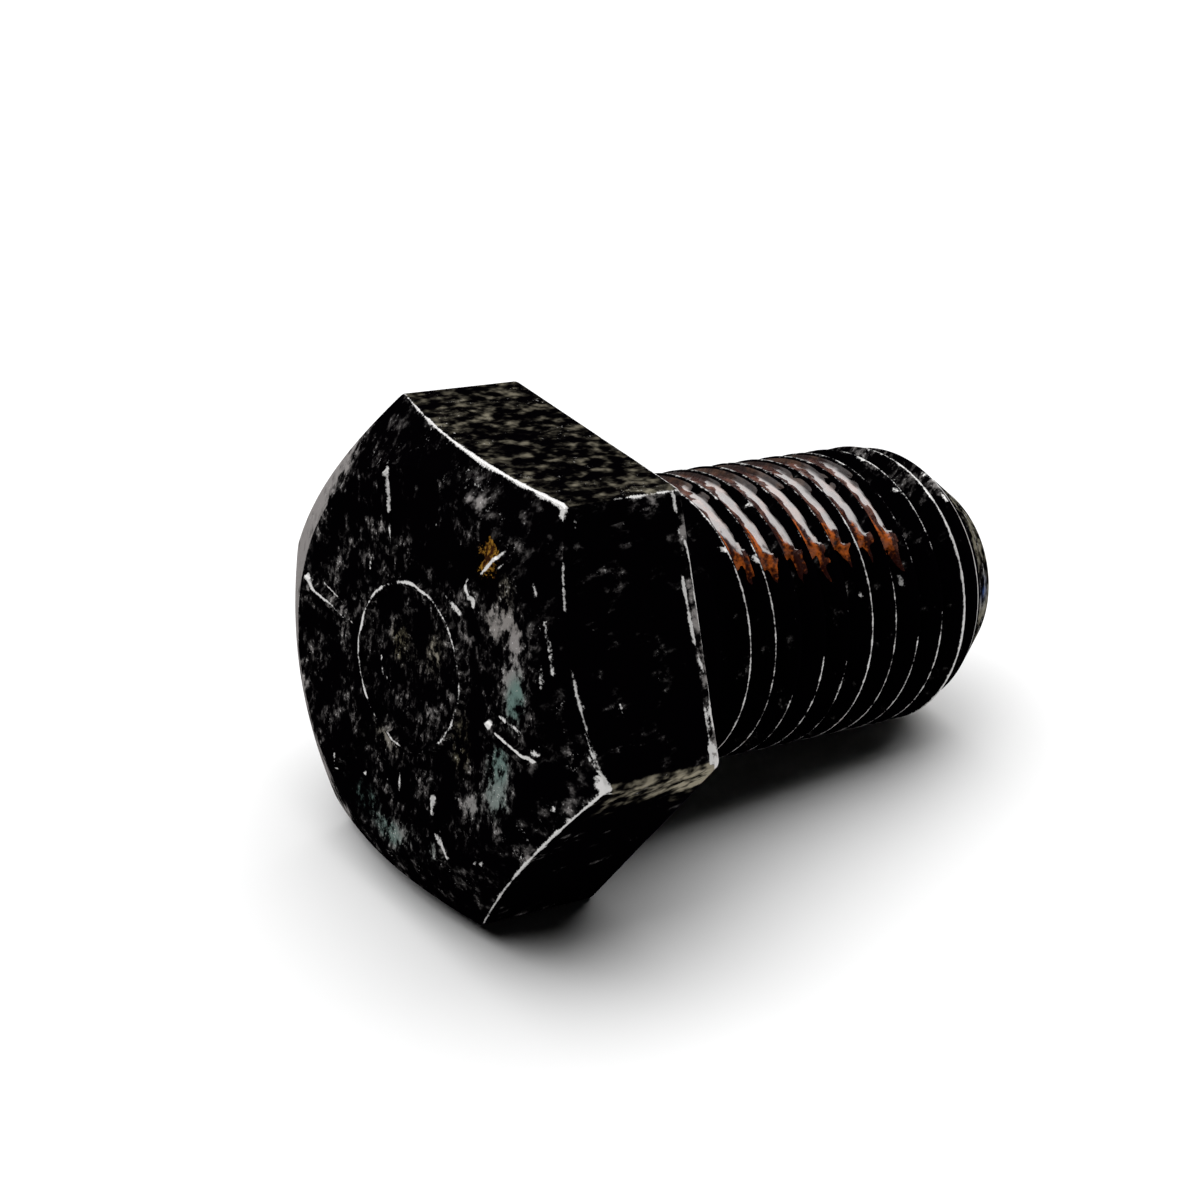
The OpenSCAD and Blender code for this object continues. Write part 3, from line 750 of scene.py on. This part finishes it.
# The underside lies just inside the screw's skin, and walls round the rim close the film
upper = np.arange(top.size).reshape(top.shape)
lower = upper + top.size
rim = np.concatenate([upper[0, :-1], upper[:-1, -1], upper[-1, :0:-1], upper[:0:-1, 0]])
rim_next = np.roll(rim, -1)
walls = np.concatenate([
    np.stack([rim, rim + top.size, rim_next], 1),
    np.stack([rim_next, rim + top.size, rim_next + top.size], 1),
])
film_points = np.concatenate([shell(top), shell(bare - sunk_in)])
film_faces = np.concatenate([grid_faces(upper), grid_faces(lower)[:, ::-1], walls])
film_marks = {"drain": drain, "streaks": streaks, "thin": thin}
film = mesh_piece("film", film_points, film_faces, {
    name: np.tile(values.ravel(), 2) for name, values in film_marks.items()})
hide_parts("lock_patch")
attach(film, "root")

deep_brown, pale_brown = (0.030, 0.0060, 0.0035, 1), (0.13, 0.050, 0.033, 1)
dark_amber, bright_amber = (0.018, 0.0030, 0.0018, 1), (0.42, 0.092, 0.012, 1)
dark_smear, pale_smear = (0.010, 0.0022, 0.0015, 1), (0.052, 0.024, 0.014, 1)

# Brown in the grooves, orange where it drains, dark where only the thin skin is left. The glossy
# coat goes with the brown.
resin = Paint("locking_film")
place = resin.position()
fine = resin.noise(place, 0.12)
blotch = resin.noise(place, 0.5)
streak = resin.mark("streaks") * 0.5 + (fine - 0.5)
orange = resin.step(resin.mark("drain") * 1.5 + streak * 0.5, 0.20, 0.75)
thinned = resin.mark("thin")
brown = resin.mix(resin.step(blotch + streak * 0.3, 0.4, 0.7), deep_brown, pale_brown)
amber = resin.mix(resin.step(streak, -0.05, 0.42), dark_amber, bright_amber)
smears = resin.mix(resin.step(blotch + streak * 0.4, 0.42, 0.72), dark_smear, pale_smear)
colour = resin.mix(thinned, resin.mix(orange, brown, amber), smears)
bump = resin.node("ShaderNodeBump", {}, {
    "Height": fine * 0.6 + blotch, "Strength": 0.6, "Distance": 0.09 * MM})
resin.fill(resin.shader, {
    "Base Color": colour, "Roughness": 0.35, "Specular IOR Level": 0.12, "Normal": bump,
    "Coat Weight": (1 - orange * 0.93) * (1 - thinned * 0.9), "Coat IOR": 2.15, "Coat Roughness": 0.10})
film.data.materials.append(resin.material)

# ---------------------------------------------------------------------------
# The ground: a plain pale sheet that takes the screw's shadow. It is flat and
# reaches well past the view on all sides.
# ---------------------------------------------------------------------------
bpy.ops.mesh.primitive_plane_add(size=1.2)
ground = bpy.context.object
ground.name = "ground"
sheet = Paint("ground")
sheet.fill(sheet.shader, {"Base Color": (0.86, 0.86, 0.86, 1), "Roughness": 1.0, "Specular IOR Level": 0.0})
ground.data.materials.append(sheet.material)

# ---------------------------------------------------------------------------
# Light: one broad soft panel overhead and a little behind, in a dark room with
# a white wall round it. Only the eye and shiny surfaces see the wall, which
# fades out between twelve and twenty-one degrees above the ground.
# ---------------------------------------------------------------------------
panel = bpy.data.lights.new("panel", "AREA")
panel.shape = "RECTANGLE"
panel.size = 2.16
panel.size_y = 3.12
panel.energy = 67.5
lamp = bpy.data.objects.new("panel", panel)
bpy.context.collection.objects.link(lamp)
lamp.location = (0.04, 0.39, 1.50)
lamp.rotation_euler = lamp.location.to_track_quat("Z", "X").to_euler()

sky = bpy.data.worlds.new("sky")
bpy.context.scene.world = sky
wall_fade = (0.20, 0.36)
dark_room = 0.006
wall = Paint("wall", sky)
rays = ("Is Camera Ray", "Is Glossy Ray", "Is Transmission Ray")
seen = sum(wall.node("ShaderNodeLightPath", output=ray) for ray in rays)
direction = wall.node("ShaderNodeTexCoord", output="Generated")
height = wall.node("ShaderNodeSeparateXYZ", {}, {"Vector": direction}, output="Z")
low_sky = 1 - wall.step(height, *wall_fade)
wall.fill(wall.shader, {"Color": (1, 1, 1, 1), "Strength": seen * low_sky + dark_room})

# ---------------------------------------------------------------------------
# Camera: near the head, above and in front of it, level to within three
# degrees. right, above and back are its directions, and place_mm its place.
# ---------------------------------------------------------------------------
lens = bpy.data.cameras.new("camera")
lens.sensor_width = 36.0
lens.lens = 87.79
lens.clip_start = 0.001
camera = bpy.data.objects.new("camera", lens)
bpy.context.collection.objects.link(camera)
right = (0.79423026, -0.60556394, 0.04990596)
above = (0.28262761, 0.44088893, 0.85190292)
back = (-0.53788468, -0.66250227, 0.52131643)
place_mm = (-53.0808, -61.2702, 56.1557)
stand = Matrix((right, above, back)).transposed().to_4x4()
stand.translation = [v * MM for v in place_mm]
camera.matrix_world = stand
bpy.context.scene.camera = camera
bpy.context.scene.view_settings.view_transform = "Standard"
